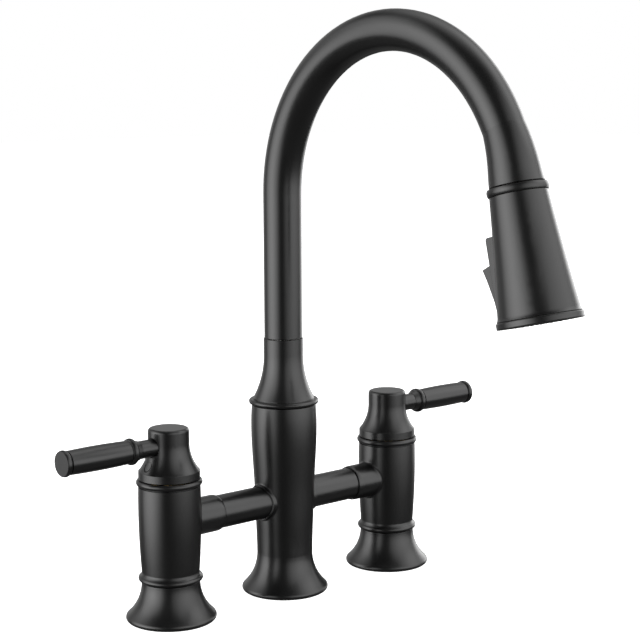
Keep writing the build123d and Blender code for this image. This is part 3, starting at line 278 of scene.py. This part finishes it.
def along(node, origin, axis):
    # how far a node reaches along an axis, in metres from the origin
    reach = [(vertex.co - origin).dot(axis) for vertex in nodes[node].data.vertices]
    return min(reach), max(reach)


def outOf(node, origin, axis):
    # a node's least and greatest distance from an axis
    offsets = [vertex.co - origin for vertex in nodes[node].data.vertices]
    distances = [(offset - axis * offset.dot(axis)).length for offset in offsets]
    return min(distances), max(distances)


def addObject(name, shape, material):
    # a finished bmesh becomes an object of the scene
    mesh = bpy.data.meshes.new(name)
    shape.to_mesh(mesh)
    shape.free()
    mesh.materials.append(material)
    made = bpy.data.objects.new(name, mesh)
    bpy.context.scene.collection.objects.link(made)
    return made


def turnOf(point):
    # angle round the hose, in turns
    return math.atan2(point.y, point.x) / math.tau


def makeOutletHose():
    # the stretch of hose that comes out of the spout with the wand
    start, end = along("outlet_hose", wandTop, wandDown)
    pull = joints["wand_pull"]["range_m"][1]
    bore, outside = outOf("outlet_hose", wandTop, wandDown)
    shape = bmesh.new()
    corners = [shape.verts.new((radius, 0, height))
               for radius, height in ((outside, start), (outside, end), (bore, end), (bore, start))]
    edges = [shape.edges.new(pair) for pair in zip(corners, corners[1:] + corners[:1])]
    bmesh.ops.subdivide_edges(shape, edges=edges[::2], cuts=outletHose["rings"])
    bmesh.ops.spin(shape, geom=shape.verts[:] + shape.edges[:], axis=(0, 0, 1), cent=(0, 0, 0),
                   angle=math.tau, steps=outletHose["steps"], use_merge=True)
    bmesh.ops.recalc_face_normals(shape, faces=shape.faces[:])
    # its braid is true to size when the wand is pulled right out
    stretch = (end - start + pull) / (end - start)
    layer = shape.loops.layers.uv.new("hoseMap")
    for face in shape.faces:
        face.smooth = True
        faceTurn = turnOf(face.calc_center_median())
        for loop in face.loops:
            turn = turnOf(loop.vert.co)
            turn += round(faceTurn - turn)         # keeps the map whole where the turn starts again
            loop[layer].uv = (turn + 1, (loop.vert.co.z - start) * stretch / (math.tau * outside))
    shape.transform(wandPlace)
    piece = addObject("outletHose", shape, makeBraid())
    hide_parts("outlet_hose")
    wandTop + wandDown * start
    wandTop + wandDown * end
    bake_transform(piece)


makeOutletHose()
print("pieces made")


studio = {
    "floorSize": 16, "lampAway": 4,       # metres
    "floorTone": 0.8, "floorGlow": 1.0, "floorRoughness": 0.9,
    "floorDark": 0.12,                    # the floor's tone in reflections
    "ambient": 0.045, "below": 0.16,      # radiance of the room outside the lamps, and under them
    "belowEnd": -0.6, "ambientStart": -0.2,   # heights between which one turns to the other, up is 1
}

# each lamp: degrees to the right of the camera as the object sees it, degrees up, the half angle over
# which it fades out, the angle at which its lower edge cuts it off, and its radiance in the middle
lamps = {
    "leftBox": (-66, 0, 48, 22, 5.6),
    "leftHighBox": (-102, 36, 30, 26, 2.1),
    "rightBox": (64, 6, 60, 20, 2.9),
    "rightHighBox": (112, 46, 34, 34, 2.2),
    "backRightBox": (146, 6, 28, 20, 4.0),
    "backLeftBox": (-148, 2, 40, 20, 0.7),
    "backBox": (172, 14, 30, 14, 0.5),
    "overheadBox": (165, 66, 36, 36, 1.6),
}


def makeFloor():
    shape = bmesh.new()
    bmesh.ops.create_grid(shape, x_segments=1, y_segments=1, size=studio["floorSize"] / 2)
    material = bpy.data.materials.new("paleFloor")
    tree = Tree(material)
    seen = tree.node("ShaderNodeLightPath", {}, {}, "Is Camera Ray")
    tone = tree.colourMix(seen, (studio["floorDark"],) * 3, (studio["floorTone"],) * 3)
    tree.close(tree.node("ShaderNodeBsdfPrincipled", {}, {
        "Base Color": tone, "Roughness": studio["floorRoughness"], "Emission Color": (1, 1, 1, 1),
        "Emission Strength": seen * studio["floorGlow"]}))
    floor = addObject("floor", shape, material)
    # the lamps reach below it, as if the object stood on a narrow shelf
    floor.visible_glossy = floor.visible_shadow = False


def makeWorld():
    world = bpy.data.worlds.new("studioRoom")
    bpy.context.scene.world = world
    tree = Tree(world)
    seen = tree.node("ShaderNodeLightPath", {}, {}, "Is Camera Ray")
    way = tree.node("ShaderNodeTexCoord", {}, {}, "Generated")
    rise = tree.node("ShaderNodeSeparateXYZ", {}, {"Vector": way}, "Z")
    room = tree.node("ShaderNodeMapRange", {"interpolation_type": "SMOOTHSTEP"}, {
        "Value": rise, "From Min": studio["belowEnd"], "From Max": studio["ambientStart"],
        "To Min": studio["below"], "To Max": studio["ambient"]})
    strength = seen + (1 - seen) * room
    glow = tree.node("ShaderNodeBackground", {}, {"Color": (1, 1, 1, 1), "Strength": strength})
    tree.close(glow, "ShaderNodeOutputWorld")


def makeLamp(name, turn, rise, fade, below, radiance):
    ahead = cameraAxes()[0]
    towards = Vector((-ahead.x, -ahead.y, 0)).normalized()
    side = Vector((-towards.y, towards.x, 0))
    turn, rise, fade, below = (math.radians(angle) for angle in (turn, rise, fade, below))
    out = (towards * math.cos(turn) + side * math.sin(turn)) * math.cos(rise)
    out.z = math.sin(rise)
    reach, lowReach = math.tan(fade), math.tan(below)
    data = bpy.data.lights.new(name, "AREA")
    data.shape, data.spread = "RECTANGLE", 2 * fade
    data.size = 2 * studio["lampAway"] * reach
    data.size_y = studio["lampAway"] * (reach + lowReach)
    data.energy = radiance * (1 - fade / reach) * math.pi * data.size * data.size_y
    lamp = bpy.data.objects.new(name, data)
    middle = (cadBox[0] + cadBox[1]) / 2
    turned = out.to_track_quat("Z", "Y").to_matrix().to_4x4()
    raised = Matrix.Translation((0, (data.size_y / 2 - studio["lampAway"] * lowReach), 0))
    lamp.matrix_world = Matrix.Translation(middle + out * studio["lampAway"]) @ turned @ raised
    bpy.context.scene.collection.objects.link(lamp)
    lamp.visible_camera = False


makeFloor()
makeWorld()
for lampName, setting in lamps.items():
    makeLamp(lampName, *setting)
bpy.context.scene.view_settings.view_transform = "Standard"
print("studio lit:", len(lamps), "lamps")
